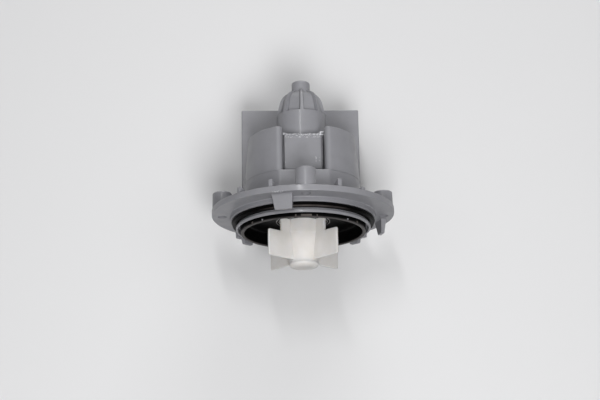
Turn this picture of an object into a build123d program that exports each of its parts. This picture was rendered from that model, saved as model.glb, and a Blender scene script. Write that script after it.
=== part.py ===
from build123d import *
import os
from math import cos, radians, sin

# Washer drain pump, in millimetres. The rotor's axis is Y: the impeller points to -Y, the ribbed dome to +Y
# and the top screw boss to +Z. The origin is the centre of the flange's front face.

# Clearances
running_clearance = 0.05
moving_gap = 0.3
seat_gap = 0.1
cut_overrun = 1.0

# Flange disc and its screw bosses
flange_radius = 41.75
flange_thickness = 2.8
flange_edge_round = 0.4
screw_rim_distance = 4.75
screw_hole_radius = 2.15
screw_angles = (0, 90, 180)
boss_radius = 4.5
boss_reach = 11.4
boss_chamfer = 0.8

# Collar in front of the flange
flange_ledge = 8.35
shoulder_height = 2.3
seal_groove_width = 2.5
seal_groove_depth = 3.4
lip_step = 2.6
lip_height = 2.05
lip_wall = 1.0
lip_recess_width = 1.2
lip_recess_depth = 1.2

# Hook tabs on the flange's front: the top one is longer, and one side of each slants inwards
hook_angles = (105, 345, 225, 315)
hook_gap = 3.2
hook_slant_side = 5.4
hook_straight_side = 4.2
hook_end_slant_side = 3.9
hook_end_straight_side = 3.8
hook_thickness = 2.0
top_hook_length = 7.2
hook_length = 6.1
hook_corner_round = 0.8

# Gusset ribs on the flange's back
gusset_angles = (54, 69, 112, 131)
gusset_thickness = 1.8
gusset_height = 3.4
gusset_gap = 0.6
gusset_rim_inset = 0.6
gusset_flat = 1.0

# Square seat behind the flange, round the rotor can
seat_front_wall = 1.4
seat_rear_wall = 0.9
seat_half_height = 14.0
seat_reach = 17.5
seat_corner_round = 1.5

# Seal on the collar, with a rear and a front lobe
seal_inset = 0.4
seal_front_inset = 1.1
seal_waist_inset = 1.9
seal_waist_width = 0.5
seal_width = 2.1

# Black cup
cup_wall = 1.6
cup_rim_height = 1.25
cup_depth = 6.7
cup_floor_thickness = 1.6
cup_floor_hole_radius = 5.0

# Shaft seal on the cup's floor
shaft_seal_radius = 12.4
shaft_seal_height = 0.9
shaft_seal_ring_count = 3
shaft_seal_ring_pitch = 1.1
shaft_seal_ring_height = 0.4

# Rotor can
can_radius = 11.5
can_wall = 1.3
can_collar_radius = 13.0
can_collar_height = 3.0
can_ledge_place = 48.2
can_bore_end = 46.0
rear_pocket_depth = 10.5
dome_length = 13.0
dome_rib_count = 8
dome_rib_thickness = 1.5
dome_recess_depth = 1.3
stub_radius = 4.25
stub_length = 4.1
stub_round = 1.0
dome_outline_shares = (
    (0.0, 1.0),
    (0.18, 0.965),
    (0.37, 0.92),
    (0.56, 0.86),
    (0.72, 0.81),
    (0.85, 0.72),
    (0.97, 0.55),
)

# Key block on the can
key_half_width = 8.3
key_top = 15.0
key_front = 17.8
key_rear = 34.8
key_round = 0.5

# O-ring of the can
o_ring_thickness = 1.0

# Bearings
shaft_radius = 2.0
bearing_radius = 3.6
bearing_length = 6.4
thrust_washer_radius = 4.8
thrust_washer_thickness = 1.0

# Rotor
shaft_front_inset = 2.4
magnet_radius = 9.5
magnet_bore_radius = 6.0
magnet_length = 21.0
core_boss_radius = 3.2

# Impeller
impeller_radius = 22.0
impeller_tail_radius = 14.0
impeller_tail_rear = -4.2
impeller_rear = -9.3
impeller_front = -21.4
vane_count = 4
vane_angle = 48
vane_thickness = 1.6
hub_radius = 6.8
hub_rear_radius = 9.0
hub_front = -22.2
hub_cavity_radius = 4.9
hub_cavity_rear = -13.0
cap_height = 2.2
cap_round = 2.0
cap_spigot_height = 0.8

# Lost-motion drive inside the hub
dog_hub_radius = 2.9
lug_width_angle = 50
bumper_width_angle = 8

# Steel core
leg_width = 11.0
core_depth = 16.2
core_front_skin = 0.8
yoke_bottom = -43.0
yoke_height = 10.0
pole_gap_radius = 12.7
rivet_spacing = 16.5
rivet_count = 3
rivet_radius = 1.6
rivet_head_radius = 2.8
rivet_head_height = 1.0

# Stator moulding: the towers are drafted, wider at the flange
tower_rear_radius = 24.9
tower_draft = 2.7
tower_rear = 36.3
tower_skin = 1.2
tower_side_wall = 2.9
tower_edge_round = 2.0
stator_bore_radius = 11.9
slot_gap = 1.2
bridge_drop = 3.4
bridge_rear = 15.2
block_ledge = 0.4
block_top = -14.0
block_bottom = -34.0
block_rear = 57.0
block_corner_round = 0.6
block_edge_round = 0.5

# Plug shroud under the block's rear
shroud_half_width = 14.0
shroud_front = 43.0
shroud_bottom = -51.0
shroud_wall = 1.6
socket_top = -36.0
shroud_corner_round = 1.2

# Coils
bobbin_wall = 1.0
winding_thickness = 3.6
bobbin_top = -15.5
bobbin_bottom = -32.0
wire_radius = 0.4
link_height = -24.0
fuse_radius = 2.0
fuse_length = 9.0
fuse_height = -20.0

# Terminal blades
blade_width = 6.3
blade_thickness = 0.8
blade_spacing = 10.0
blade_tip = -47.5
blade_root = -28.0
blade_tip_chamfer = 1.0

# Worked out from the sizes above
screw_circle_radius = flange_radius - screw_rim_distance
shoulder_radius = flange_radius - flange_ledge
seal_groove_radius = shoulder_radius - seal_groove_depth
seal_radius = shoulder_radius - seal_inset
seal_front_radius = shoulder_radius - seal_front_inset
seal_waist_radius = shoulder_radius - seal_waist_inset
lip_radius = shoulder_radius - lip_step
cup_radius = lip_radius - lip_wall - lip_recess_width
gusset_inner_radius = shoulder_radius + gusset_gap
seat_front_half_width = can_collar_radius + seat_front_wall
seat_rear_half_width = can_radius + seat_rear_wall
hook_radius = shoulder_radius + hook_gap + hook_thickness
lip_rear = -(shoulder_height + seal_groove_width)
lip_front = lip_rear - lip_height
cup_rim = lip_front - cup_rim_height
cup_floor_front = cup_rim + cup_depth
cup_floor_rear = cup_floor_front + cup_floor_thickness
can_front = cup_floor_rear
can_collar_rear = can_front + can_collar_height
can_bore_radius = can_radius - can_wall
dome_end = can_ledge_place + dome_length
stub_end = dome_end + stub_length
rear_pocket_end = can_bore_end + rear_pocket_depth
front_bearing_rear = can_front + bearing_length
front_washer_rear = front_bearing_rear + thrust_washer_thickness
core_boss_front = front_washer_rear + moving_gap
rear_washer_front = can_bore_end - thrust_washer_thickness
core_boss_rear = rear_washer_front - moving_gap
core_front = seat_reach + moving_gap + core_front_skin
core_rear = core_front + core_depth
magnet_front = (core_front + core_rear - magnet_length) / 2
magnet_rear = magnet_front + magnet_length
shaft_bore_radius = shaft_radius + running_clearance
hub_rear = cup_floor_front - shaft_seal_height - shaft_seal_ring_height - moving_gap
cap_front = hub_front - cap_height
cap_spigot_rear = hub_front + cap_spigot_height
shaft_front = cap_front + shaft_front_inset
shaft_rear = can_bore_end + bearing_length
yoke_top = yoke_bottom + yoke_height
tower_front_radius = tower_rear_radius + tower_draft
core_half_width = tower_rear_radius - tower_side_wall
leg_inner_half_gap = core_half_width - leg_width
rivet_place = (yoke_bottom + block_bottom) / 2
stator_front = flange_thickness + moving_gap
slot_half_width = key_half_width + slot_gap
bridge_top = tower_front_radius - bridge_drop
block_half_width = tower_front_radius + block_ledge
coil_margin = bobbin_wall + winding_thickness
coil_rear = core_rear + coil_margin
coil_inner = leg_inner_half_gap - coil_margin
blade_place = (shroud_front + block_rear) / 2


def rod(radius, y_from, y_to, x=0, z=0):
    # round bar along the rotor's axis
    bar = Rot(90, 0, 0) * Cylinder(radius, y_to - y_from)
    return Pos(x, (y_from + y_to) / 2, z) * bar


def tube(outer, inner, y_from, y_to):
    return rod(outer, y_from, y_to) - rod(inner, y_from - cut_overrun, y_to + cut_overrun)


def bar_between(x_from, x_to, y_from, y_to, z_from, z_to):
    # square-edged block between three pairs of planes
    size = Box(x_to - x_from, y_to - y_from, z_to - z_from)
    return Pos((x_from + x_to) / 2, (y_from + y_to) / 2, (z_from + z_to) / 2) * size


def turned(points):
    # solid turned about the rotor's axis from (radius, y) points
    outline = make_face(Polyline(*points, close=True))
    return revolve(outline, Axis.Y)


def at_angle(angle, piece):
    # turn about the rotor's axis, 0 degrees at +X and 90 degrees at +Z
    return Rot(0, -angle, 0) * piece


def sector(inner, outer, y_from, y_to, middle_angle, width_angle):
    # part of a ring, width_angle wide
    half = radians(width_angle / 2)
    reach = outer + cut_overrun
    edge = (reach * cos(half), reach * sin(half))
    wedge = make_face(Polyline((0, 0), edge, (reach, 0), (edge[0], -edge[1]), close=True))
    wide = extrude(Plane.XZ * wedge, -(y_to - y_from))
    ring = rod(outer, 0, y_to - y_from) - rod(inner, -cut_overrun, y_to - y_from + cut_overrun)
    return at_angle(middle_angle, Pos(0, y_from, 0) * (ring & wide))


def screw_places():
    angles = [radians(angle) for angle in screw_angles]
    return [(screw_circle_radius * cos(a), screw_circle_radius * sin(a)) for a in angles]


def hook(length):
    # tab with rounded end corners, made at 0 degrees
    root = flange_thickness / 2
    outline = make_face(
        Polyline(
            (root, -hook_straight_side),
            (root, hook_slant_side),
            (-length, hook_end_slant_side),
            (-length, -hook_end_straight_side),
            close=True,
        )
    )
    # the outline's first axis runs along the pump's Y, its second along Z
    lie = Plane(origin=(hook_radius - hook_thickness, 0, 0), x_dir=(0, 1, 0), z_dir=(1, 0, 0))
    tab = extrude(lie * outline, hook_thickness)
    return fillet(tab.edges().filter_by(Axis.X).group_by(Axis.Y)[0], hook_corner_round)


def gusset():
    half = gusset_thickness / 2
    rim = flange_radius - gusset_rim_inset
    top = flange_thickness + gusset_height
    middle = flange_thickness / 2
    outline = make_face(
        Polyline(
            (gusset_inner_radius, middle),
            (rim, middle),
            (rim, top),
            (rim - gusset_flat, top),
            (gusset_inner_radius, flange_thickness),
            close=True,
        )
    )
    return Pos(0, 0, half) * extrude(outline, -gusset_thickness)


def can_seat():
    outline = make_face(
        Polyline(
            (-seat_front_half_width, flange_thickness / 2),
            (seat_front_half_width, flange_thickness / 2),
            (seat_rear_half_width, seat_reach),
            (-seat_rear_half_width, seat_reach),
            close=True,
        )
    )
    seat = Pos(0, 0, -seat_half_height) * extrude(outline, 2 * seat_half_height)
    rear_edges = seat.edges().filter_by(Axis.Z).group_by(Axis.Y)[-1]
    return fillet(rear_edges, seat_corner_round)


def pump_flange():
    disc = fillet(rod(flange_radius, 0, flange_thickness).edges(), flange_edge_round)
    collar = turned(
        (
            (0, flange_thickness / 2),
            (shoulder_radius, flange_thickness / 2),
            (shoulder_radius, -shoulder_height),
            (seal_groove_radius, -shoulder_height),
            (seal_groove_radius, lip_rear),
            (lip_radius, lip_rear),
            (lip_radius, lip_front),
            (0, lip_front),
        )
    )
    body = disc + collar + can_seat()
    for x, z in screw_places():
        boss = rod(boss_radius, 0, boss_reach, x, z)
        body += chamfer(boss.edges().group_by(Axis.Y)[-1], boss_chamfer)
    for index, angle in enumerate(hook_angles):
        body += at_angle(angle, hook(hook_length if index else top_hook_length))
    for angle in gusset_angles:
        body += at_angle(angle, gusset())
    body -= rod(cup_radius, lip_front - cut_overrun, cup_floor_rear)
    body -= rod(lip_radius - lip_wall, lip_front - cut_overrun, lip_front + lip_recess_depth)
    body -= rod(can_collar_radius, cup_floor_rear - cut_overrun, can_collar_rear + o_ring_thickness)
    body -= rod(can_radius, 0, seat_reach + cut_overrun)
    for x, z in screw_places():
        body -= rod(screw_hole_radius, -cut_overrun, boss_reach + cut_overrun, x, z)
    return body


def collar_seal():
    # ring with two lobes and a waist between them, seated against the shoulder
    waist_middle = -(shoulder_height + seal_width / 2)
    half_waist = seal_waist_width / 2
    front = -(shoulder_height + seal_width)
    return turned(
        (
            (seal_groove_radius, -shoulder_height),
            (seal_radius, -shoulder_height),
            (seal_radius, waist_middle + half_waist),
            (seal_waist_radius, waist_middle),
            (seal_front_radius, waist_middle - half_waist),
            (seal_front_radius, front),
            (seal_groove_radius, front),
        )
    )


def cup_liner():
    cup = rod(cup_radius, cup_rim, cup_floor_rear)
    cup -= rod(cup_radius - cup_wall, cup_rim - cut_overrun, cup_floor_front)
    return cup - rod(cup_floor_hole_radius, cup_floor_front - cut_overrun, cup_floor_rear + cut_overrun)


def shaft_seal():
    # disc with raised rings on its face and a spigot in the floor's hole
    face = cup_floor_front - shaft_seal_height
    seal = rod(shaft_seal_radius, face, cup_floor_front) + rod(cup_floor_hole_radius, face, cup_floor_rear)
    for ring in range(shaft_seal_ring_count):
        outer = shaft_seal_radius - 2 * ring * shaft_seal_ring_pitch
        seal += tube(outer, outer - shaft_seal_ring_pitch, face - shaft_seal_ring_height, face)
    return seal - rod(shaft_bore_radius, face - cut_overrun, cup_floor_rear + cut_overrun)


def dome_outline(inset):
    # (radius, y) points of the dome, from the ledge to the stub
    points = []
    for along_share, radius_share in dome_outline_shares:
        points.append((can_radius * radius_share - inset, can_ledge_place + dome_length * along_share))
    return points


def dome_rib(index):
    half = dome_rib_thickness / 2
    outline = [(0, can_ledge_place)] + dome_outline(0) + [(stub_radius, dome_end), (0, dome_end)]
    flat = extrude(make_face(Polyline(*outline, close=True)), dome_rib_thickness)
    return at_angle(360 * index / dome_rib_count, Pos(0, 0, -half) * flat)


def rotor_can():
    outline = [(0, can_front), (can_collar_radius, can_front), (can_collar_radius, can_collar_rear)]
    outline += [(can_radius, can_collar_rear), (can_radius, can_ledge_place)]
    outline += dome_outline(dome_recess_depth)
    outline += [(stub_radius, dome_end), (0, dome_end)]
    can = turned(outline)
    for index in range(dome_rib_count):
        can += dome_rib(index)
    stub = rod(stub_radius, dome_end, stub_end)
    can += fillet(stub.edges().group_by(Axis.Y)[-1], stub_round)
    key = bar_between(-key_half_width, key_half_width, key_front, key_rear, 0, key_top)
    can += fillet(key.edges().group_by(Axis.Z)[-1], key_round)
    can -= rod(can_bore_radius, can_front - cut_overrun, can_bore_end)
    can -= rod(bearing_radius + can_wall, can_bore_end - cut_overrun, rear_pocket_end)
    return can


def can_o_ring():
    return tube(can_collar_radius, can_radius, can_collar_rear, can_collar_rear + o_ring_thickness)


def sleeve_bearing(front):
    return tube(bearing_radius, shaft_bore_radius, front, front + bearing_length)


def front_bearing_holder():
    return tube(can_bore_radius, bearing_radius, can_front, front_bearing_rear)


def rear_bearing_holder():
    holder = rod(bearing_radius + can_wall, can_bore_end, rear_pocket_end)
    return holder - rod(bearing_radius, can_bore_end - cut_overrun, shaft_rear)


def thrust_washer(front):
    return tube(thrust_washer_radius, shaft_bore_radius, front, front + thrust_washer_thickness)


def rotor_shaft():
    return rod(shaft_radius, shaft_front, shaft_rear)


def rotor_magnet():
    return tube(magnet_radius, magnet_bore_radius, magnet_front, magnet_rear)


def magnet_core():
    core = rod(magnet_bore_radius, magnet_front, magnet_rear)
    core += rod(core_boss_radius, core_boss_front, core_boss_rear)
    return core - rod(shaft_radius, core_boss_front - cut_overrun, core_boss_rear + cut_overrun)


def vane(radius, y_from, y_to):
    half = vane_thickness / 2
    return bar_between(0, radius, y_from, y_to, -half, half)


def impeller():
    # the hub is straight inside the cup and narrows towards the nose
    wheel = turned(
        (
            (0, hub_rear),
            (hub_rear_radius, hub_rear),
            (hub_rear_radius, impeller_rear),
            (hub_radius, hub_front),
            (0, hub_front),
        )
    )
    for index in range(vane_count):
        blade = vane(impeller_radius, impeller_front, impeller_rear)
        blade += vane(impeller_tail_radius, impeller_rear, impeller_tail_rear)
        wheel += at_angle(vane_angle + 360 * index / vane_count, blade)
    wheel -= rod(hub_cavity_radius, hub_front - cut_overrun, hub_cavity_rear)
    wheel -= rod(shaft_bore_radius, hub_cavity_rear - cut_overrun, hub_rear + cut_overrun)
    lug_inner = dog_hub_radius + moving_gap
    lug = sector(lug_inner, hub_cavity_radius, cap_spigot_rear, hub_cavity_rear, vane_angle, lug_width_angle)
    return wheel + lug


def dog_bumpers():
    # a pad on each side of the impeller's lug
    offset = (lug_width_angle + bumper_width_angle) / 2
    lug_inner = dog_hub_radius + moving_gap
    pads = []
    for side in (-1, 1):
        middle = vane_angle + side * offset
        pads.append(
            sector(lug_inner, hub_cavity_radius, cap_spigot_rear, hub_cavity_rear, middle, bumper_width_angle)
        )
    return pads


def shaft_dog():
    # driver pressed on the shaft, its lug opposite the impeller's
    front = cap_spigot_rear + moving_gap
    rear = hub_cavity_rear - moving_gap
    lug_outer = hub_cavity_radius - moving_gap
    dog = rod(dog_hub_radius, front, rear)
    dog += sector(0, lug_outer, front, rear, vane_angle + 180, lug_width_angle)
    return dog - rod(shaft_radius, front - cut_overrun, rear + cut_overrun)


def impeller_cap():
    cap = rod(hub_radius, cap_front, hub_front)
    cap = fillet(cap.edges().group_by(Axis.Y)[0], cap_round)
    cap += rod(hub_cavity_radius, hub_front, cap_spigot_rear)
    return cap - rod(shaft_radius + moving_gap, shaft_front - moving_gap, cap_spigot_rear + cut_overrun)


def core_stack():
    # U shaped stack: the yoke below, a leg each side of the rotor, rounded tips inside the towers
    tip_radius = tower_rear_radius - tower_skin
    stack = bar_between(-core_half_width, core_half_width, core_front, core_rear, yoke_bottom, yoke_top)
    for side in (-1, 1):
        low, high = sorted((side * leg_inner_half_gap, side * core_half_width))
        stack += bar_between(low, high, core_front, core_rear, yoke_top, 0)
        tip = bar_between(low, high, core_front, core_rear, 0, tip_radius)
        stack += tip & rod(tip_radius, core_front, core_rear)
    return stack - rod(pole_gap_radius, core_front - cut_overrun, core_rear + cut_overrun)


def core_laminations():
    core = core_stack()
    for x in rivet_places():
        core -= rod(rivet_radius, core_front - cut_overrun, core_rear + cut_overrun, x, rivet_place)
    return core


def rivet_places():
    middle = (rivet_count - 1) / 2
    return [rivet_spacing * (index - middle) for index in range(rivet_count)]


def core_rivets():
    rivets = []
    for x in rivet_places():
        rivet = rod(rivet_radius, core_front, core_rear, x, rivet_place)
        rivet += rod(rivet_head_radius, core_front - rivet_head_height, core_front, x, rivet_place)
        rivet += rod(rivet_head_radius, core_rear, core_rear + rivet_head_height, x, rivet_place)
        rivets.append(rivet)
    return rivets


def coil_box(margin, z_from, z_to):
    # block round the right-hand leg, grown by margin on all four sides
    return bar_between(
        leg_inner_half_gap - margin,
        core_half_width + margin,
        core_front - margin,
        core_rear + margin,
        z_from,
        z_to,
    )


def to_side(side, piece):
    return piece if side > 0 else mirror(piece, Plane.YZ)


def bobbin(side):
    spool = coil_box(coil_margin, bobbin_bottom, bobbin_top)
    winding_room = coil_box(coil_margin, bobbin_bottom + bobbin_wall, bobbin_top - bobbin_wall)
    drum = coil_box(bobbin_wall, bobbin_bottom, bobbin_top)
    spool = spool - winding_room + drum
    spool -= coil_box(0, bobbin_bottom - cut_overrun, bobbin_top + cut_overrun)
    return to_side(side, spool)


def winding(side):
    coil = coil_box(coil_margin, bobbin_bottom + bobbin_wall, bobbin_top - bobbin_wall)
    coil -= coil_box(bobbin_wall, bobbin_bottom, bobbin_top)
    return to_side(side, coil)


def coil_link_wire():
    # crosses the gap between the two coils
    wire = Rot(0, 90, 0) * Cylinder(wire_radius, 2 * coil_inner)
    return Pos(0, (core_front + core_rear) / 2, link_height) * wire


def terminal_leads():
    inset = blade_place - blade_thickness / 2
    places = [side * (coil_inner + wire_radius + bobbin_wall) for side in (-1, 1)]
    height = blade_root - bobbin_wall
    return [rod(wire_radius, coil_rear, inset, x, height) for x in places]


def thermal_fuse():
    body = Rot(0, 90, 0) * Cylinder(fuse_radius, fuse_length)
    return Pos((leg_inner_half_gap + core_half_width) / 2, coil_rear + fuse_radius, fuse_height) * body


def terminal(side):
    middle = side * blade_spacing / 2
    blade_size = Box(blade_width, blade_thickness, blade_root - blade_tip)
    blade = Pos(middle, blade_place, (blade_root + blade_tip) / 2) * blade_size
    tip_corners = blade.edges().filter_by(Axis.Y).group_by(Axis.Z)[0]
    return chamfer(tip_corners, blade_tip_chamfer)


def tower_outline(radius):
    # half circle above the rotor's axis and straight sides below it, seen along the axis
    dome = Circle(radius) & Pos(0, radius / 2) * Rectangle(2 * radius, radius)
    return Plane.XZ * (dome + Pos(0, block_top / 2) * Rectangle(2 * radius, -block_top))


def towers():
    # one drafted block, slotted for the can's key block behind the bridge and cut flat over the bridge
    front = Pos(0, stator_front, 0) * tower_outline(tower_front_radius)
    rear = Pos(0, tower_rear, 0) * tower_outline(tower_rear_radius)
    pair = loft([front, rear], ruled=True)
    half = slot_half_width
    pair -= bar_between(-half, half, bridge_rear, tower_rear + cut_overrun, 0, tower_front_radius)
    slot_edges = [edge for edge in pair.edges() if abs(abs(edge.center().X) - half) < seat_gap]
    top_edges = sorted(slot_edges, key=lambda edge: edge.center().Z)[-2:]
    pair = fillet(top_edges, tower_edge_round)
    wide = tower_front_radius + cut_overrun
    return pair - bar_between(-wide, wide, stator_front - cut_overrun, bridge_rear, bridge_top, wide)


def stator_moulding():
    half = block_half_width
    block = bar_between(-half, half, stator_front, block_rear, block_bottom, block_top)
    block = fillet(block.edges().filter_by(Axis.Z), block_corner_round)
    block = fillet(block.edges().group_by(Axis.Z)[-1], block_edge_round)
    shroud = bar_between(
        -shroud_half_width, shroud_half_width, shroud_front, block_rear, shroud_bottom, block_bottom
    )
    shroud = fillet(shroud.edges().filter_by(Axis.Z), shroud_corner_round)
    body = towers() + block + shroud
    body -= rod(stator_bore_radius, stator_front - cut_overrun, tower_rear)
    body -= bar_between(
        -(seat_front_half_width + moving_gap),
        seat_front_half_width + moving_gap,
        stator_front - cut_overrun,
        seat_reach + moving_gap,
        -(seat_half_height + moving_gap),
        seat_half_height + moving_gap,
    )
    body -= bar_between(
        -(shroud_half_width - shroud_wall),
        shroud_half_width - shroud_wall,
        shroud_front + shroud_wall,
        block_rear - shroud_wall,
        shroud_bottom - cut_overrun,
        socket_top,
    )
    body -= core_stack()
    for side in (-1, 1):
        body -= to_side(side, coil_box(coil_margin, bobbin_bottom, bobbin_top))
        body -= terminal(side)
    body -= coil_link_wire()
    body -= thermal_fuse()
    for lead in terminal_leads():
        body -= lead
    return body


def write(name, solids):
    group = Compound(solids) if isinstance(solids, list) else solids
    export_step(group, f"parts/{name}.step")


def main():
    os.makedirs("parts", exist_ok=True)
    write("pump_flange", pump_flange())
    write("collar_seal", collar_seal())
    write("cup_liner", cup_liner())
    write("shaft_seal", shaft_seal())
    write("rotor_can", rotor_can())
    write("can_o_ring", can_o_ring())
    write("front_bearing", sleeve_bearing(can_front))
    write("front_bearing_holder", front_bearing_holder())
    write("rear_bearing", sleeve_bearing(can_bore_end))
    write("rear_bearing_holder", rear_bearing_holder())
    write("front_thrust_washer", thrust_washer(front_bearing_rear))
    write("rear_thrust_washer", thrust_washer(rear_washer_front))
    write("rotor_shaft", rotor_shaft())
    write("rotor_magnet", rotor_magnet())
    write("magnet_core", magnet_core())
    write("shaft_dog", shaft_dog())
    write("impeller", impeller())
    write("dog_bumpers", dog_bumpers())
    write("impeller_cap", impeller_cap())
    write("stator_moulding", stator_moulding())
    write("core_laminations", core_laminations())
    write("core_rivets", core_rivets())
    for side, side_name in ((-1, "left"), (1, "right")):
        write(f"bobbin_{side_name}", bobbin(side))
        write(f"winding_{side_name}", winding(side))
        write(f"terminal_{side_name}", terminal(side))
    write("coil_link_wire", coil_link_wire())
    write("terminal_leads", terminal_leads())
    write("thermal_fuse", thermal_fuse())


main()
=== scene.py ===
import math

import bmesh
import bpy
import numpy as np
from mathutils import Matrix, Vector


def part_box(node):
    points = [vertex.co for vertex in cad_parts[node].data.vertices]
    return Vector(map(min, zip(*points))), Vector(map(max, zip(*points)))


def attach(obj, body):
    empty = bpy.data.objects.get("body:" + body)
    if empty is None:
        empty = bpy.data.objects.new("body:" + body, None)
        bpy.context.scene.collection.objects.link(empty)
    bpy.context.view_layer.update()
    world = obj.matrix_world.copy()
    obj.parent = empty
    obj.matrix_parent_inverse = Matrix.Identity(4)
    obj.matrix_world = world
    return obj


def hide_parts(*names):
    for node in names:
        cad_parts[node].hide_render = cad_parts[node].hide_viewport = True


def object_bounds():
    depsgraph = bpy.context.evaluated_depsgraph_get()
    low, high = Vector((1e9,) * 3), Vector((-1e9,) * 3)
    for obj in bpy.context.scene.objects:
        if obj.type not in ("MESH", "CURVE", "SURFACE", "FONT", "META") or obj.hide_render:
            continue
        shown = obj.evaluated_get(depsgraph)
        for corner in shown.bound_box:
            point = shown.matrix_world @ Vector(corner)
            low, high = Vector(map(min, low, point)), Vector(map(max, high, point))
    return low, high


# Washer drain pump: the rotor's axis is Y, the impeller points to -Y and the top screw boss to +Z.
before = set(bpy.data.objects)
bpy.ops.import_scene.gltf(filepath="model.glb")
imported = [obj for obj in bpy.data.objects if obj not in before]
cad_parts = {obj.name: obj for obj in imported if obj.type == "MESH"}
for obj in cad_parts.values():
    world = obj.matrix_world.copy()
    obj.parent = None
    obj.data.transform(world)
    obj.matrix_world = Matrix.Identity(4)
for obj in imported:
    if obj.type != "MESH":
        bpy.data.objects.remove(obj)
cadLow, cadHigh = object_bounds()
mm = 0.001  # pieces are worked out in millimetres and stored in metres
print("frame loaded:", len(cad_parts), "nodes")


def cornersOf(node):
    low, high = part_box(node)
    return np.array(low) / mm, np.array(high) / mm


# Shells: a shape is a grid of points in millimetres whose rows are closed loops.

def arcCorners(corners, steps=6):
    # every (u, v, radius) corner becomes an arc between the two sides it touches:
    # its centre lies on the bisector, radius / sin(half the corner's angle) from the point
    table = np.array(corners, float)
    point, radius = table[:, :2], table[:, 2:3]
    back = np.roll(point, 1, 0) - point
    ahead = np.roll(point, -1, 0) - point
    back /= np.linalg.norm(back, axis=1, keepdims=True)
    ahead /= np.linalg.norm(ahead, axis=1, keepdims=True)
    half = np.arccos(np.clip((back * ahead).sum(1, keepdims=True), -1, 1)) / 2
    bisector = back + ahead
    bisector /= np.maximum(np.linalg.norm(bisector, axis=1, keepdims=True), 1e-9)
    centre = point + bisector * radius / np.sin(half)
    start = point + back * radius / np.tan(half) - centre
    end = point + ahead * radius / np.tan(half) - centre
    first = np.arctan2(start[:, 1:], start[:, :1])
    sweep = (np.arctan2(end[:, 1:], end[:, :1]) - first + math.pi) % (2 * math.pi) - math.pi
    angle = first + sweep * np.linspace(0, 1, steps + 1)
    arc = centre[:, None] + radius[:, None] * np.stack((np.cos(angle), np.sin(angle)), -1)
    outline = arc.reshape(-1, 2)
    apart = np.linalg.norm(outline - np.roll(outline, 1, 0), axis=1)
    return outline[apart > 1e-6]


def arcPoints(centre, radius, degreesFrom, degreesTo, steps):
    angle = np.radians(np.linspace(degreesFrom, degreesTo, steps + 1))
    return np.stack((centre[0] + radius * np.cos(angle), centre[1] + radius * np.sin(angle)), 1)


def gridShell(grid, ringed=False, capped=False):
    # four-sided faces between neighbouring points; ringed joins the last row to the first
    rows, columns = grid.shape[:2]
    index = np.arange(rows * columns).reshape(rows, columns)
    caps = [index[0], index[-1][::-1]] if capped else []
    index = np.hstack((index, index[:, :1]))
    if ringed:
        index = np.vstack((index, index[:1]))
    quads = np.stack((index[:-1, :-1], index[:-1, 1:], index[1:, 1:], index[1:, :-1]), -1)
    return grid.reshape(-1, 3), quads.reshape(-1, 4), caps


def turnedRows(profile, angle, centre=(0, 0)):
    # every (radius, y) point at every angle about an axis along Y: x = radius cos a, z = radius sin a
    radius, y = np.asarray(profile, float).T
    x = centre[0] + np.outer(radius, np.cos(angle))
    z = centre[1] + np.outer(radius, np.sin(angle))
    return np.stack((x, y[:, None] + 0 * x, z), -1)


def turnedShell(profile, closed=False, segments=192, centre=(0, 0)):
    # the profile turned through the whole circle
    angle = np.linspace(0, 2 * math.pi, segments, endpoint=False)
    return gridShell(turnedRows(profile, angle, centre), ringed=closed)


def rod(radius, yFrom, yTo, centre=(0, 0), segments=96):
    profile = ((0, yFrom), (radius, yFrom), (radius, yTo), (0, yTo))
    return turnedShell(profile, segments=segments, centre=centre)


def roundedLevels(low, high, roundLow, roundHigh, steps=4):
    # (depth, inset) pairs: quarter circles at both ends, inset = radius (1 - cos), depth = radius (1 - sin)
    turn = np.linspace(0, math.pi / 2, steps + 1)
    first = np.stack((low + roundLow * (1 - np.cos(turn)), roundLow * (1 - np.sin(turn))), 1)
    last = np.stack((high - roundHigh * (1 - np.cos(turn)), roundHigh * (1 - np.sin(turn))), 1)[::-1]
    return np.vstack((first, last))


def prismShell(outline, levels, place):
    # a closed outline carried along the depth and drawn in at each level by its inset, along the bisectors
    # (n1 + n2) / (1 + n1 . n2) of its sides. A stack of outlines gives each level its own
    flat = np.broadcast_to(outline, (len(levels), *outline.shape[-2:]))
    ahead = np.roll(flat, -1, 1)
    edge = ahead - flat
    area = (flat[..., 0] * ahead[..., 1] - flat[..., 1] * ahead[..., 0]).sum(1)
    inward = np.stack((-edge[..., 1], edge[..., 0]), -1) * np.sign(area)[:, None, None]
    inward /= np.linalg.norm(inward, axis=-1, keepdims=True)
    before = np.roll(inward, 1, 1)
    bisector = (inward + before) / (1 + (inward * before).sum(-1, keepdims=True))
    depth, inset = np.array(levels, float).T
    flat = flat + bisector * inset[:, None, None]
    u, v = flat[..., 0], flat[..., 1]
    return gridShell(np.stack(place(u, v, depth[:, None] + 0 * u), -1), capped=True)


def mirrored(half):
    # an outline's right half and its mirror image, x to -x
    return np.vstack((half, half[::-1] * (-1, 1)))


def blockShell(low, high, cornerRound=0.0, lowRound=0.0, highRound=0.0, extraLevels=()):
    # box between two corners, its upright edges rounded, and its bottom and top
    sides = ((low[0], low[1]), (high[0], low[1]), (high[0], high[1]), (low[0], high[1]))
    outline = arcCorners([(x, y, cornerRound) for x, y in sides])
    levels = roundedLevels(low[2], high[2], lowRound, highRound).tolist() + list(extraLevels)
    return prismShell(outline, sorted(levels, key=lambda level: level[0]), lambda x, y, z: (x, y, z))


def wideBlock(half, fromTo, bottomTop, *rounds, **more):
    # block from -half to +half across the pump
    return blockShell((-half, fromTo[0], bottomTop[0]), (half, fromTo[1], bottomTop[1]), *rounds, **more)


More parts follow.
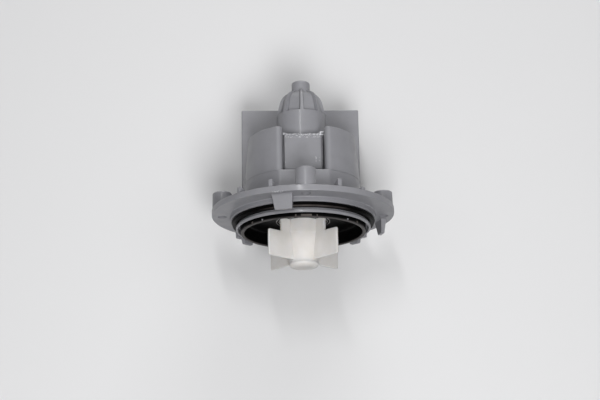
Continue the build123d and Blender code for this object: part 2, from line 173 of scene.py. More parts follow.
def aroundAxis(degrees):
    # radius r, height y and sideways t at an angle: x = r cos a - t sin a, z = r sin a + t cos a
    cosine, sine = math.cos(math.radians(degrees)), math.sin(math.radians(degrees))
    return lambda r, y, t: (r * cosine - t * sine, y, r * sine + t * cosine)


def makeMesh(name, shells):
    # the shells' arrays go into one mesh; poles and seams are merged and the faces turned outwards
    points = np.concatenate([shell[0] for shell in shells]) * mm
    faces, start = [], 0
    for own, quads, caps in shells:
        faces += (quads + start).tolist() + [(cap + start).tolist() for cap in caps]
        start += len(own)
    mesh = bpy.data.meshes.new(name)
    mesh.from_pydata(points, [], faces)
    work = bmesh.new()
    work.from_mesh(mesh)
    bmesh.ops.remove_doubles(work, verts=work.verts, dist=0.0005 * mm)
    bmesh.ops.delete(work, geom=[edge for edge in work.edges if not edge.link_faces], context="EDGES")
    bmesh.ops.recalc_face_normals(work, faces=work.faces)
    work.to_mesh(mesh)
    work.free()
    return mesh


def addObject(name, data):
    made = bpy.data.objects.new(name, data)
    bpy.context.scene.collection.objects.link(made)
    return made


def smoothFaces(piece, sharpAngle):
    piece.data.shade_smooth()
    piece.data.set_sharp_from_angle(angle=math.radians(sharpAngle))


def makePiece(name, base, joined=(), cut=(), sharpAngle=32):
    # other shells are joined to the base or cut from it with the boolean modifier, then it is applied
    piece = addObject(name, makeMesh(name, [base]))
    helpers = []
    for operation, shells in (("UNION", joined), ("DIFFERENCE", cut)):
        for shell in shells:
            helper = addObject("helper", makeMesh("helper", [shell]))
            step = piece.modifiers.new(operation.lower(), "BOOLEAN")
            step.operation, step.solver, step.object = operation, "MANIFOLD", helper
            helpers.append(helper)
    if helpers:
        graph = bpy.context.evaluated_depsgraph_get()
        finished = bpy.data.meshes.new_from_object(piece.evaluated_get(graph))
        piece.modifiers.clear()
        piece.data = finished
        for helper in helpers:
            bpy.data.objects.remove(helper)
    smoothFaces(piece, sharpAngle)
    weighted = piece.modifiers.new("flat faces stay flat", "WEIGHTED_NORMAL")
    weighted.keep_sharp = True
    weighted.weight = 80
    return piece


def settle(piece, finish, body, slotName, *nodes):
    piece.data.materials.clear()
    piece.data.materials.append(finish)
    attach(piece, body)
    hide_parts(*nodes)
    print("piece:", piece.name, len(piece.data.polygons), "faces")
    return piece


# Finishes

def screenColour(red, green, blue):
    # screen values from 0 to 255 as linear colour: ((c + 0.055) / 1.055) ** 2.4
    share = np.array((red, green, blue)) / 255
    return (*(((share + 0.055) / 1.055) ** 2.4), 1)


def addNode(tree, kind, sockets=None, **settings):
    node = tree.nodes.new(kind)
    for name, value in settings.items():
        setattr(node, name, value)
    for name, value in (sockets or {}).items():
        if isinstance(value, bpy.types.NodeSocket):
            tree.links.new(value, node.inputs[name])
        else:
            node.inputs[name].default_value = value
    return node


def noiseAt(place, size, detail=4.0, roughness=0.55, stretch=None):
    # noise whose lumps are about size millimetres across, stretched along the axes when asked
    tree = place.id_data
    if stretch:
        place = addNode(tree, "ShaderNodeMapping", {"Vector": place, "Scale": stretch}).outputs[0]
    sockets = {"Vector": place, "Scale": 1 / (size * mm), "Detail": detail, "Roughness": roughness}
    return addNode(tree, "ShaderNodeTexNoise", sockets).outputs["Fac"]


def between(value, low, high, lowTo=0.0, highTo=1.0):
    # value from low..high to lowTo..highTo, held at both ends
    sockets = {"Value": value, "From Min": low, "From Max": high, "To Min": lowTo, "To Max": highTo}
    return addNode(value.id_data, "ShaderNodeMapRange", sockets).outputs[0]


def reckon(operation, first, second=0.0):
    # arithmetic on sockets and numbers, one of which is a socket
    socket = first if isinstance(first, bpy.types.NodeSocket) else second
    return addNode(socket.id_data, "ShaderNodeMath", {0: first, 1: second}, operation=operation).outputs[0]


def within(value, low, high, fade):
    # 1 from low to high millimetres, falling to 0 over the fade on either side: the product of two ramps
    low, high, fade = low * mm, high * mm, fade * mm
    return reckon("MULTIPLY", between(value, low - fade, low), between(value, high + fade, high))


def blendColours(factor, first, second):
    sockets = {0: factor, 6: first, 7: second}
    return addNode(factor.id_data, "ShaderNodeMix", sockets, data_type="RGBA").outputs[2]


def tint(colour, towards, pattern, low, high, most=1.0):
    # the colour goes towards another where the pattern rises from low to high
    return blendColours(between(pattern, low, high, 0.0, most), colour, towards)


def axesOf(place):
    return addNode(place.id_data, "ShaderNodeSeparateXYZ", {0: place}).outputs


def startFinish(name, constants):
    # new material with its Principled shader, whose constants are set on its own sockets
    finish = bpy.data.materials.new(name)
    finish.use_nodes = True
    shader = finish.node_tree.nodes["Principled BSDF"]
    for socket, value in constants.items():
        shader.inputs[socket].default_value = value
    return finish, shader, addNode(finish.node_tree, "ShaderNodeTexCoord").outputs["Object"]


def connect(shader, colour, roughness, height, distance):
    tree = shader.id_data
    tree.links.new(colour, shader.inputs["Base Color"])
    tree.links.new(roughness, shader.inputs["Roughness"])
    bump = addNode(tree, "ShaderNodeBump", {"Height": height, "Distance": distance * mm, "Strength": 1.0})
    tree.links.new(bump.outputs[0], shader.inputs["Normal"])


greyMoulding = {
    "colour": screenColour(139, 139, 144), "worn": screenColour(164, 164, 169),
    "dusty": screenColour(125, 125, 129), "roughness": (0.44, 0.54),
    "gloss": {"Specular IOR Level": 0.6, "Coat Weight": 0.25, "Coat Roughness": 0.14},
    "grainSize": 0.22, "grainDepth": 0.010, "cloudSize": 9.0,
    "scuffSize": 2.4, "scuffStretch": (3.0, 0.6, 1.0),
}


def mouldedGrey(name, settings, whitened=None):
    # colour = base grey, faintly clouded by slow noise, with fine stretched scuffs that lighten it;
    # height = fine moulding grain plus a faint ripple; whitened adds stressed white plastic in boxes
    finish, shader, place = startFinish(name, settings["gloss"])
    cloud = noiseAt(place, settings["cloudSize"], 3.0)
    colour = tint(settings["colour"], settings["dusty"], cloud, 0.4, 0.8, 0.55)
    scuff = noiseAt(place, settings["scuffSize"], 8.0, 0.75, settings["scuffStretch"])
    colour = tint(colour, settings["worn"], scuff, 0.64, 0.72, 0.3)
    grain = noiseAt(place, settings["grainSize"], 6.0, 0.6)
    colour = tint(colour, settings["dusty"], grain, 0.35, 0.7, 0.3)
    roughness = between(cloud, 0.3, 0.7, *settings["roughness"])
    height = reckon("ADD", grain, reckon("MULTIPLY", scuff, 0.4))
    if whitened:
        axes = axesOf(place)
        ragged = noiseAt(place, whitened["raggedSize"], 7.0, 0.85)
        mask = 0.0
        for low, high, cover in whitened["boxes"]:
            # inside the box the ragged noise shows where it is above 0.62 - 0.3 cover
            patch = between(ragged, 0.62 - 0.3 * cover, 0.66 - 0.3 * cover)
            for axis, start, end in zip(axes, low, high):
                patch = reckon("MULTIPLY", patch, within(axis, start, end, whitened["fade"]))
            mask = reckon("MAXIMUM", patch, mask)
        colour = blendColours(mask, colour, whitened["colour"])
        height = reckon("ADD", height, reckon("MULTIPLY", mask, 3.0))
    connect(shader, colour, roughness, height, settings["grainDepth"])
    return finish


whiteMoulding = {
    "colour": screenColour(230, 227, 225), "shade": screenColour(223, 220, 216),
    "stain": screenColour(214, 206, 192), "roughness": (0.34, 0.44),
    "glow": {"Subsurface Weight": 0.8, "Subsurface Radius": (1.0, 0.93, 0.85), "Subsurface Scale": 2.0 * mm},
    "grainSize": 0.3, "grainDepth": 0.008, "cloudSize": 7.0, "stainSize": 1.6,
}


def mouldedWhite(name, settings):
    # colour = warm white with slow shading and a few small stains; light passes a little way in
    finish, shader, place = startFinish(name, settings["glow"])
    cloud = noiseAt(place, settings["cloudSize"], 3.0)
    colour = tint(settings["colour"], settings["shade"], cloud, 0.35, 0.7)
    stain = noiseAt(place, settings["stainSize"], 8.0, 0.7)
    colour = tint(colour, settings["stain"], stain, 0.66, 0.74, 0.5)
    grain = noiseAt(place, settings["grainSize"], 5.0)
    connect(shader, colour, between(stain, 0.3, 0.7, *settings["roughness"]), grain, settings["grainDepth"])
    return finish


blackRubber = {
    "colour": screenColour(5, 4, 4), "bloom": screenColour(13, 11, 11), "roughness": (0.32, 0.42),
    "gloss": 0.03, "grainSize": 0.15, "grainDepth": 0.008, "cloudSize": 5.0, "speckSize": 0.5,
}
blackPlastic = {
    "colour": screenColour(5, 5, 5), "bloom": screenColour(14, 13, 13), "roughness": (0.28, 0.4),
    "gloss": 0.05, "grainSize": 0.25, "grainDepth": 0.004, "cloudSize": 6.0, "speckSize": 0.5,
}


def darkMoulding(name, settings, paintedHighlight=None):
    # near black, with a greyish bloom in slow patches and dust specks from a fine noise;
    # a painted highlight, if given, is a paler band between two places along Y, fading in between two heights
    finish, shader, place = startFinish(name, {"Specular IOR Level": settings["gloss"]})
    cloud = noiseAt(place, settings["cloudSize"], 5.0, 0.6)
    colour = tint(settings["colour"], settings["bloom"], cloud, 0.45, 0.8, 0.6)
    speck = noiseAt(place, settings["speckSize"], 2.0)
    colour = tint(colour, settings["bloom"], speck, 0.72, 0.78, 0.5)
    if paintedHighlight:
        axes = axesOf(place)
        band = within(axes[1], paintedHighlight["low"], paintedHighlight["high"], paintedHighlight["fade"])
        band = reckon("MULTIPLY", band, between(cloud, 0.3, 0.6, 0.5, 1.0))
        # the painted highlight starts at the first height and is full at the second
        highlightStart, highlightFull = paintedHighlight["highlightHeights"]
        band = reckon("MULTIPLY", band, between(axes[2], highlightStart * mm, highlightFull * mm))
        colour = blendColours(band, colour, paintedHighlight["colour"])
    grain = noiseAt(place, settings["grainSize"], 5.0)
    connect(shader, colour, between(cloud, 0.3, 0.7, *settings["roughness"]), grain, settings["grainDepth"])
    return finish


def ringedRubber(name, settings, rings):
    # pale ring crowns as painted highlight: cos(2 pi (crown - r) / pitch) above a threshold, r from the axis
    finish, shader, place = startFinish(name, {"Specular IOR Level": settings["gloss"]})
    axes = axesOf(place)
    radius = reckon("SQRT", reckon("ADD", *(reckon("MULTIPLY", axis, axis) for axis in (axes[0], axes[2]))))
    inwards = reckon("SUBTRACT", rings["crown"] * mm, radius)
    wave = reckon("COSINE", reckon("MULTIPLY", inwards, 2 * math.pi / (rings["pitch"] * mm)))
    patch = noiseAt(place, rings["patchSize"], 4.0)
    crown = reckon("MULTIPLY", between(wave, 0.1, 0.8), between(patch, 0.3, 0.65, 0.35, 1.0))
    colour = blendColours(crown, settings["colour"], rings["colour"])
    connect(shader, colour, between(patch, 0.3, 0.7, *settings["roughness"]), patch, settings["grainDepth"])
    return finish


metals = {  # bright and dull colour, roughness, stretch of the fine lines
    "groundSteel": (screenColour(196, 197, 200), screenColour(150, 151, 155), (0.2, 0.36), (6, 0.5, 6)),
    "electricalSteel": (screenColour(120, 122, 126), screenColour(92, 84, 78), (0.35, 0.55), (0.4, 8, 0.4)),
    "tinnedBrass": (screenColour(206, 205, 198), screenColour(168, 164, 152), (0.24, 0.42), (1, 1, 5)),
}
metalGrain = {"lineSize": 0.6, "patchSize": 5.0, "depth": 0.006}


def brushedMetal(name, base, dull, roughness, stretch):
    # metal with fine lines from a noise stretched along one axis, dulled in patches
    finish, shader, place = startFinish(name, {"Metallic": 1.0})
    lines = noiseAt(place, metalGrain["lineSize"], 6.0, 0.65, stretch)
    patch = noiseAt(place, metalGrain["patchSize"], 4.0)
    colour = tint(base, dull, patch, 0.4, 0.75)
    colour = tint(colour, dull, lines, 0.45, 0.7, 0.35)
    connect(shader, colour, between(lines, 0.3, 0.7, *roughness), lines, metalGrain["depth"])
    return finish


powders = {  # base and fleck colour, roughness, metallic, size and depth of the flecks
    "sinteredCarbon": (screenColour(52, 50, 50), screenColour(96, 88, 80), (0.4, 0.6), 0.35, 0.2, 0.012),
    "ferrite": (screenColour(46, 45, 48), screenColour(70, 68, 72), (0.45, 0.65), 0.1, 0.4, 0.012),
}


def pressedPowder(name, base, fleck, roughness, metallic, fleckSize, depth):
    # a dark base with small lighter flecks and a pitted surface, both from one noise
    finish, shader, place = startFinish(name, {"Metallic": metallic})
    flecks = noiseAt(place, fleckSize, 3.0, 0.7)
    colour = tint(base, fleck, flecks, 0.55, 0.68)
    connect(shader, colour, between(flecks, 0.3, 0.7, *roughness), flecks, depth)
    return finish


# the gap colour is painted shade between the turns
copper = {
    "gap": screenColour(96, 42, 20), "crest": screenColour(196, 108, 62), "tone": screenColour(140, 66, 34),
    "turnPitch": 0.35, "turnDepth": 0.12, "toneSize": 3.0, "roughness": (0.45, 0.3),
    "enamel": {"Metallic": 0.85, "Coat Weight": 0.5, "Coat Roughness": 0.15},
}


def woundCopper(name, settings):
    # enamelled copper: height = wave across Z with one crest a turn, colour darker between turns as painted
    # shade.
    # A wave texture of scale s has a crest each pi / (10 s) metres
    finish, shader, place = startFinish(name, settings["enamel"])
    scale = math.pi / (10 * settings["turnPitch"] * mm)
    sockets = {"Vector": place, "Scale": scale, "Distortion": 0.6, "Detail": 2.0}
    kind = {"wave_type": "BANDS", "bands_direction": "Z"}
    wave = addNode(place.id_data, "ShaderNodeTexWave", sockets, **kind).outputs["Fac"]
    tone = noiseAt(place, settings["toneSize"], 3.0)
    colour = blendColours(wave, settings["gap"], settings["crest"])
    colour = tint(colour, settings["tone"], tone, 0.4, 0.8, 0.4)
    connect(shader, colour, between(wave, 0.0, 1.0, *settings["roughness"]), wave, settings["turnDepth"])
    return finish


keyWhitening = {
    "fade": 0.08, "raggedSize": 0.9, "colour": screenColour(216, 217, 221),
    "boxes": (  # low corner, high corner, how much of the box is white
        ((-8.4, 34.2, 14.2), (8.4, 35.9, 15.6), 0.34),
        ((-8.3, 33.1, 14.8), (8.3, 34.2, 15.4), 0.27),
        ((7.8, 34.4, 13.5), (10.3, 37.0, 16.0), 0.8),
        ((-9.4, 34.6, 13.5), (-8.3, 36.6, 16.0), 0.35),
        ((5.6, 21.3, 14.8), (6.0, 24.1, 15.4), 0.34),
        ((7.3, 21.6, 14.8), (7.6, 24.0, 15.4), 0.26),
    ),
}
rimWhitening = {
    "fade": 0.15, "raggedSize": 0.7, "colour": screenColour(214, 214, 218),
    "boxes": (((-14.5, -0.9, 38.6), (-10.0, 0.2, 41.7), 0.4),),
}
# painted highlight: a paler line on the collar seal's front lobe crown, on its upper part only, where the
# light catches it
sealHighlight = {
    "low": -4.25, "high": -3.85, "fade": 0.2, "highlightHeights": (25, 32), "colour": screenColour(74, 69, 67),
}
# painted highlight: a paler ring on the cup's front rim, for the light that its glossy edge reflects
rimHighlight = {
    "low": -9.0, "high": -7.95, "fade": 0.4, "highlightHeights": (-90, -60), "colour": screenColour(78, 75, 74),
}
# painted reflection: the pads are coloured grey for the light that their glossy black tops reflect
padsPaintedReflection = {**blackPlastic, "colour": screenColour(86, 81, 78), "bloom": screenColour(112, 106, 101)}
# the pale crown colour is a painted highlight on the shaft seal's rings
sealRings = {"crown": 12.15, "pitch": 1.15, "patchSize": 3.0, "colour": screenColour(225, 223, 221)}

greyFinish = mouldedGrey("greyMoulding", greyMoulding)
canFinish = mouldedGrey("greyCanMoulding", greyMoulding, keyWhitening)
flangeFinish = mouldedGrey("greyFlangeMoulding", greyMoulding, rimWhitening)
whiteFinish = mouldedWhite("whiteMoulding", whiteMoulding)
rubberFinish = darkMoulding("blackRubber", blackRubber)
# the collar seal's finish carries its painted highlight line
collarRubberFinish = darkMoulding("highlightedRubber", blackRubber, sealHighlight)
# the cup's finish carries a painted highlight on its front rim
linerFinish = darkMoulding("glossyBlack", blackPlastic, rimHighlight)
# the pads' grey finish is a painted reflection
padFinish = darkMoulding("padsPaintedReflection", padsPaintedReflection)
sealRingFinish = ringedRubber("ringedRubber", blackRubber, sealRings)
steelFinish, plateFinish, tinFinish = (brushedMetal(name, *metal) for name, metal in metals.items())
bearingFinish, ferriteFinish = (pressedPowder(name, *powder) for name, powder in powders.items())
copperFinish = woundCopper("enamelledCopper", copper)
print("finishes ready")


# Flange with collar, bosses, hooks, gussets and the can's seat

sealLow, sealHigh = cornersOf("collar_seal")
linerLow, linerHigh = cornersOf("cup_liner")
flangeLow, flangeHigh = cornersOf("pump_flange")
oRingHigh = cornersOf("can_o_ring")[1]
canLow, canHigh = cornersOf("rotor_can")
fitGap = 0.02
overrun = 1.0  # cuts run this far past the faces that they open

flange = {
    "radius": -flangeLow[0], "thickness": 2.8, "edgeRound": 0.4, "rootRound": 0.5, "segments": 512,
    "screwCircle": 37.0, "screwAngles": (0, 90, 180), "screwHole": 2.15, "holeSegments": 48,
    "bossRadius": 4.5, "bossReach": 11.4, "bossRound": 0.8, "bossTaper": 0.1, "bossSegments": 72,
    "bossFoot": 0.22, "footStep": 0.01,
    "shoulderRadius": 33.4, "shoulderRound": 0.25, "grooveRadius": 30.0,
    "lipRear": -5.15, "lipFront": -6.5, "lipRadius": 30.8, "lipWall": 1.0, "lipRecess": 2.3, "lipRound": 0.3,
    "hookPlaces": (  # angle, length, the end's low and high corner, side with a short step
        (105, 6.9, -3.8, 3.9, 0), (345, 6.5, -0.8, 3.9, 0),
        (225, 6.1, -1.6, 3.9, -1), (315, 6.1, -3.8, 1.6, 1),
    ),
    "hookRoot": (36.1, 38.8), "hookEnd": (36.6, 38.1), "hookRound": 0.8, "hookEdge": 0.25,
    "hookSides": (-4.2, 5.4), "hookStep": (4.0, 5.6), "stepRound": 0.3,
    "gussetPlaces": ((51.5, 1.4), (69, 3.4), (112, 3.4), (135.4, 2.8)),  # angle, height
    "gussetWidth": 1.8, "gussetInner": 34.0, "gussetInset": 0.6, "gussetFlat": 1.0,
    "gussetRound": 0.3, "gussetEdge": 0.18,
    "seatHalfWidth": (14.4, 12.4), "seatHalfHeight": 14.0, "seatRound": 0.8, "seatRearRound": 0.6,
    "throatStep": 1.5, "throatFront": 0.5,
    "clips": ((48.9, 0.3), (131.0, 0.3)),  # angle, half width
    "clipEnds": (-7.1, -7.75), "clipRise": 0.4, "clipSink": 0.2,
    "tearSeed": 11, "tearLift": 0.5, "tears": (  # angle, width, size
        (104.0, 5.0, 0.55), (100.0, 1.2, 0.4), (78.0, 9.0, 0.12), (170.0, 14.0, 0.1),
    ),
}
wallTab = {"corner": 0.15, "edge": 0.12}


def flangeProfile(f):
    # (radius, y) outline of the disc and collar, from the cup's floor round the rim and back to the axis
    cup, lipInner = linerHigh[0] + fitGap, f["lipRadius"] - f["lipWall"]
    lipFloor = f["lipFront"] + f["lipRecess"]
    return arcCorners((
        (0, linerHigh[1], 0),
        (cup, linerHigh[1], 0),
        (cup, lipFloor, 0),
        (lipInner, lipFloor, 0),
        (lipInner, f["lipFront"], f["lipRound"]),
        (f["lipRadius"], f["lipFront"], f["lipRound"]),
        (f["lipRadius"], f["lipRear"], f["lipRound"]),
        (f["grooveRadius"], f["lipRear"], 0),
        (f["grooveRadius"], sealHigh[1], 0),
        (f["shoulderRadius"], sealHigh[1], f["shoulderRound"]),
        (f["shoulderRadius"], 0, f["rootRound"]),
        (f["radius"], 0, f["edgeRound"]),
        (f["radius"], f["thickness"], f["edgeRound"]),
        (0, f["thickness"], 0),
    ))


def screwSpot(f, degrees):
    # a screw hole's place on its circle: x = radius cos a, z = radius sin a
    angle = math.radians(degrees)
    return f["screwCircle"] * math.cos(angle), f["screwCircle"] * math.sin(angle)


def bossShell(f, degrees):
    # bar with a flared foot and a rounded end, turned about the screw hole's axis
    face, radius, flare = f["thickness"], f["bossRadius"], f["bossRadius"] + f["bossFoot"]
    profile = arcCorners((
        (0, face / 2, 0),
        (flare, face / 2, 0),
        (flare, face + f["footStep"], 0),
        (radius + f["footStep"], face + f["bossFoot"], f["bossFoot"]),
        (radius - f["bossTaper"], f["bossReach"], f["bossRound"]),
        (0, f["bossReach"], 0),
    ))
    return turnedShell(profile, segments=f["bossSegments"], centre=screwSpot(f, degrees))


def hookShell(f, degrees, length, lowEnd, highEnd, stepSide):
    # wedge: its inner and outer radius run straight from the root's to the end's; a lower tab is short on
    # one side
    (lowSide, highSide), (stepUp, stepOut), bend = f["hookSides"], f["hookStep"], f["stepRound"]
    root = f["thickness"] / 2
    corners = [(root, min(lowSide, stepSide * stepOut), 0), (root, max(highSide, stepSide * stepOut), 0)]
    if stepSide > 0:
        corners += [(-stepUp, stepOut, bend), (-stepUp, highEnd + bend, bend)]
    corners += [(-length, highEnd, f["hookRound"]), (-length, lowEnd, f["hookRound"])]
    if stepSide < 0:
        corners += [(-stepUp, lowEnd - bend, bend), (-stepUp, -stepOut, bend)]
    turn = aroundAxis(degrees)
    depth = f["hookRoot"][1] - f["hookRoot"][0]

    def place(y, t, level):
        along = np.clip(-y / length, 0, 1)
        inner, outer = (f["hookRoot"][k] + (f["hookEnd"][k] - f["hookRoot"][k]) * along for k in (0, 1))
        return turn(inner + (outer - inner) * level / depth, y, t)

    return prismShell(arcCorners(corners), roundedLevels(0, depth, f["hookEdge"], f["hookEdge"]), place)


def gussetShell(f, degrees, height):
    # rib on the disc's rear face: it slopes up from its inner end to a short flat at the rim
    rim, top = f["radius"] - f["gussetInset"], f["thickness"] + height
    outline = arcCorners((
        (f["gussetInner"], f["thickness"] / 2, 0),
        (rim, f["thickness"] / 2, 0),
        (rim, top, f["gussetRound"]),
        (rim - f["gussetFlat"], top, f["gussetRound"]),
        (f["gussetInner"], f["thickness"], 0),
    ))
    half = f["gussetWidth"] / 2
    levels = roundedLevels(-half, half, f["gussetEdge"], f["gussetEdge"])
    return prismShell(outline, levels, aroundAxis(degrees))


def seatShell(f):
    # the seat's width falls evenly from front to rear
    front, rear = f["seatHalfWidth"]
    start, end = f["thickness"] / 2, flangeHigh[1]
    sides = ((-1, -1), (1, -1), (1, 1), (-1, 1))
    outline = arcCorners([(sx * front, sz * f["seatHalfHeight"], f["seatRound"]) for sx, sz in sides])

    def place(x, z, y):
        return x * (1 + (rear / front - 1) * (y - start) / (end - start)), y, z

    return prismShell(outline, roundedLevels(start, end, 0, f["seatRearRound"]), place)


def tabShell(degrees, half, ends, bend, heights):
    # small rounded block bent round the cup's wall: r falls by t^2 / (2 bend) to either side of its middle
    rear, front = ends
    corners = ((rear, -half), (rear, half), (front, half), (front, -half))
    outline = arcCorners([(y, t, wallTab["corner"]) for y, t in corners])
    turn = aroundAxis(degrees)
    levels = roundedLevels(*heights, 0, wallTab["edge"])
    return prismShell(outline, levels, lambda y, t, r: turn(r - t * t / (2 * bend), y, t))


def clipShell(f, degrees, half):
    # small raised clip in front of the lip, on the black cup's wall
    foot = linerHigh[0] - f["clipSink"]
    return tabShell(degrees, half, f["clipEnds"], foot, (foot, linerHigh[0] + f["clipRise"]))


def tornRim(points, f):
    # seeded spikes pull the front rim's edge out: size * noise^3 * exp(-((angle - middle) / width)^2), and
    # less where the disc is at its widest
    x, y, z = points.T
    radius, angle = np.hypot(x, z), np.degrees(np.arctan2(z, x))
    step = np.round(angle * f["segments"] / 360).astype(int) % f["segments"]
    spikes = np.random.default_rng(f["tearSeed"]).uniform(0, 1, f["segments"]) ** 3
    reach = sum(size * np.exp(-((angle - middle) / width) ** 2) for middle, width, size in f["tears"])
    pull = reach * spikes[step] * (radius > f["radius"] - f["edgeRound"]) * (y < f["edgeRound"])
    room = np.clip(f["radius"] - np.abs(x), 0, 1)
    grown = 1 + pull * room / np.maximum(radius, 1)
    return np.stack((x * grown, y - f["tearLift"] * pull, z * grown), 1)


def pumpFlange(f):
    # the turned disc and collar with what stands on them joined, and the seats and holes cut
    points, quads, caps = turnedShell(flangeProfile(f), segments=f["segments"])
    joined = [seatShell(f)]
    joined += [bossShell(f, degrees) for degrees in f["screwAngles"]]
    joined += [hookShell(f, *place) for place in f["hookPlaces"]]
    joined += [gussetShell(f, *place) for place in f["gussetPlaces"]]
    joined += [clipShell(f, *place) for place in f["clips"]]
    cut = [
        rod(oRingHigh[0] + fitGap, linerHigh[1] - overrun, oRingHigh[1] + fitGap),
        rod(-canLow[0] - f["throatStep"] + fitGap, f["throatFront"], flangeHigh[1] + overrun),
    ]
    for degrees in f["screwAngles"]:
        front, rear, spot = -2 * overrun, f["bossReach"] + 2 * overrun, screwSpot(f, degrees)
        cut.append(rod(f["screwHole"], front, rear, spot, f["holeSegments"]))
    return makePiece("flange_body", (tornRim(points, f), quads, caps), joined, cut)


settle(pumpFlange(flange), flangeFinish, "root", "grey_plastic", "pump_flange")


# Rubber ring on the collar: a rear and a front lobe with a waist between them

seal = {
    "rearRadii": (32.5, 32.9), "waistRadius": 31.5, "frontRadii": (32.6, 32.2), "waistReach": (0.2, 0.15),
    "lobeRound": 0.3, "footRound": 0.2, "creaseRound": 0.1,
}


def collarSeal(s):
    # the rear lobe widens towards the waist and the front lobe narrows away from it
    inner, rear, front = flange["grooveRadius"] + fitGap, sealHigh[1], sealLow[1]
    middle = (rear + front) / 2
    profile = arcCorners((
        (inner, rear, s["footRound"]),
        (s["rearRadii"][0], rear, s["creaseRound"]),
        (s["rearRadii"][1], middle + s["waistReach"][0], s["lobeRound"]),
        (s["waistRadius"], middle, s["creaseRound"]),
        (s["frontRadii"][0], middle - s["waistReach"][1], s["lobeRound"]),
        (s["frontRadii"][1], front, s["lobeRound"]),
        (inner, front, s["footRound"]),
    ))
    return makePiece("collar_ring", turnedShell(profile, closed=True, segments=256), sharpAngle=60)


settle(collarSeal(seal), collarRubberFinish, "root", "black_rubber", "collar_seal")


# Black cup in the collar

liner = {
    "wall": 1.6, "floorFront": -1.4, "floorHole": 5.0, "rimRound": 0.35, "floorRound": 1.2, "rearRound": 0.3,
}


def cupLiner(c):
    # (radius, y) section of the floor and wall, one thickness each, turned about the axis
    outer, inner, rear = linerHigh[0], linerHigh[0] - c["wall"], linerHigh[1]
    profile = arcCorners((
        (c["floorHole"], rear, 0),
        (outer, rear, c["rearRound"]),
        (outer, linerLow[1], c["rimRound"]),
        (inner, linerLow[1], c["rimRound"]),
        (inner, c["floorFront"], c["floorRound"]),
        (c["floorHole"], c["floorFront"], 0),
    ))
    return makePiece("cup", turnedShell(profile, closed=True, segments=256))


settle(cupLiner(liner), linerFinish, "root", "black_plastic", "cup_liner")


# Small pads on the cup's outer wall, behind its rim, coloured grey as a painted reflection on black plastic

cupPads = {
    "places": ((89.3, 2.4), (98.6, 0.3), (79.7, 0.25), (144.2, 0.5), (35.0, 0.5)),  # angle, half width
    "ends": (-6.9, -7.75), "rise": 0.25, "sink": 0.3,
}


def padShells(p):
    wall = linerHigh[0]
    heights = (wall - p["sink"], wall + p["rise"])
    return [tabShell(degrees, half, p["ends"], wall, heights) for degrees, half in p["places"]]


padPiece = addObject("cup_pads", makeMesh("cup_pads", padShells(cupPads)))
settle(padPiece, padFinish, "root", "black_plastic")


# Ringed rubber seal round the shaft; its rings have the crown and pitch of their finish

shaftSeal = {"ringRise": 0.4, "ringInner": 5.5, "ringSteps": 96, "hole": 2.05}


def shaftSealProfile(s):
    # the face waves with the radius: y = face - rise * (1 + cos(2 pi (crown - r) / pitch)) / 2
    low, high = cornersOf("shaft_seal")
    outer, face = high[0], low[1] + s["ringRise"]
    radius = np.linspace(s["ringInner"], outer, s["ringSteps"] + 1)
    turn = 2 * math.pi * (sealRings["crown"] - radius) / sealRings["pitch"]
    wave = np.stack((radius, face - s["ringRise"] * (1 + np.cos(turn)) / 2), 1)
    floor, spigot = liner["floorFront"], liner["floorHole"] - fitGap
    back = np.array(((outer, floor), (spigot, floor), (spigot, high[1]), (s["hole"], high[1])))
    return np.vstack(((s["hole"], face), wave, back))


shaftDisc = turnedShell(shaftSealProfile(shaftSeal), closed=True, segments=128)
settle(makePiece("shaft_seal_disc", shaftDisc), sealRingFinish, "root", "black_rubber", "shaft_seal")


# Rotor can: grey tube, ribbed dome, stub at the rear and key block on top

can = {
    "radius": 11.5, "wall": 1.3, "collarRadius": 13.0, "collarRear": 3.2, "collarRound": 0.3, "ledge": 48.2,
    "boreEnd": 46.0, "pocketRadius": 4.9, "pocketEnd": 56.5, "rowGap": 0.02,
    "domeLength": 13.0, "domeFall": (0.25, 0.68), "stubRadius": 4.25, "stubFoot": 0.25, "stubRound": 0.9,
    "ribCount": 8, "ribHalfWidths": (0.85, 0.35), "ribShoulder": 0.45, "proud": 1.25, "groove": 0.55,
    "ledgeGroove": (0.7, 1.0), "ledgeStep": 0.25, "stubMargin": 0.05,
    "keyHalfWidth": 8.6, "keyFront": 17.8, "keyRear": 34.8, "keyTop": 15.0, "keyCorner": 0.5, "keyEdge": 0.55,
    "footHalfWidth": 9.25, "footFront": 15.8, "footRear": 35.3, "footTop": 12.8, "footRound": 0.4,
    "blockBase": 5.0, "chipEdge": 0.1, "chips": (  # low corner, high corner, corner radius
        ((7.8, 34.5, 14.2), (9.9, 34.9, 14.9), 0.1), ((7.8, 35.5, 14.2), (10.0, 36.0, 15.0), 0.1),
        ((7.7, 34.5, 14.1), (8.2, 36.0, 14.9), 0.1), ((-9.2, 34.6, 14.0), (-8.0, 35.6, 14.7), 0.2),
    ),
}


def domeRadius(c, share):
    # outline of the ribs from the ledge (0) to the stub (1): radius (1 - a t)(1 - b t^7)
    cone, crown = c["domeFall"]
    ribs = c["radius"] * (1 - cone * share) * (1 - crown * share ** 7)
    return np.maximum(ribs, c["stubRadius"] + c["stubFoot"])


